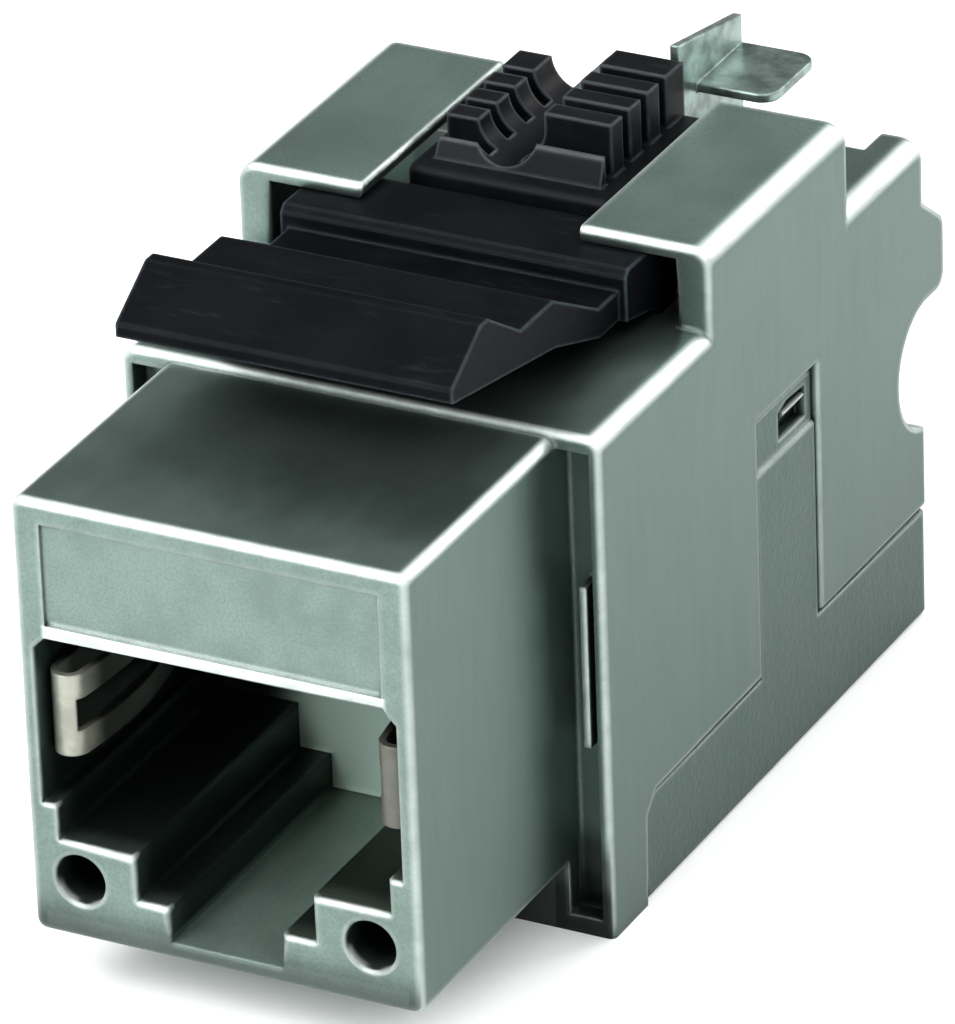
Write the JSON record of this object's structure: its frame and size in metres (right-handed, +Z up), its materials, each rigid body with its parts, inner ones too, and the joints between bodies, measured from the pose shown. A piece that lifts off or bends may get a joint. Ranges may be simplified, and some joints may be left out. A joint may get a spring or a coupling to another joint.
{
  "type": "keystone jack",
  "caption": "Shielded die-cast keystone jack with a modular plug port, a sprung panel latch on top and wire terminals at the rear.",
  "frame": {"origin": "under the middle of the part, on the face that it rests on", "axes": "+Y from the plug face to the rear, +Z up towards the latch, +X to the right seen from the plug face"},
  "size_m": [0.0178, 0.0374, 0.0237],
  "materials": {
    "zinc": "satin die-cast zinc with a grey-green cast",
    "zinc_dark": "finely textured die-cast zinc",
    "black_plastic": "moulded black plastic",
    "insert_plastic": "moulded dark grey plastic",
    "board_green": "solder-masked laminate",
    "clip_steel": "bright tinned spring steel",
    "spring_tin": "tin-plated spring sheet with a cream cast",
    "contact_gold": "gold-plated spring wire",
    "terminal_tin": "tinned terminal sheet"
  },
  "bodies": {
    "housing": {"main_housing": "zinc", "lower_cover": "zinc_dark", "contact_insert": "insert_plastic", "circuit_board": "board_green", "idc_block": "black_plastic", "shield_clip": "clip_steel", "shield_spring_left": "spring_tin", "shield_spring_right": "spring_tin", "contact_wire_1": "contact_gold", "contact_wire_2": "contact_gold", "contact_wire_3": "contact_gold", "contact_wire_4": "contact_gold", "contact_wire_5": "contact_gold", "contact_wire_6": "contact_gold", "contact_wire_7": "contact_gold", "contact_wire_8": "contact_gold", "idc_terminal_1": "terminal_tin", "idc_terminal_2": "terminal_tin", "idc_terminal_3": "terminal_tin", "idc_terminal_4": "terminal_tin", "idc_terminal_5": "terminal_tin", "idc_terminal_6": "terminal_tin", "idc_terminal_7": "terminal_tin", "idc_terminal_8": "terminal_tin"},
    "latch": {"latch_lever": "black_plastic"},
    "manager": {"wire_manager": "black_plastic"}
  },
  "joints": [
    {"name": "latch_press", "type": "hinge", "parent": "housing", "child": "latch", "pos_m": [0, 0.0018, 0.01995], "axis": [1, 0, 0], "range_deg": [0, 7], "stiffness_Nm_per_rad": 0.3},
    {"name": "manager_lift", "type": "slide", "parent": "housing", "child": "manager", "axis": [0, 0, 1], "range_m": [0, 0.005]}
  ]
}
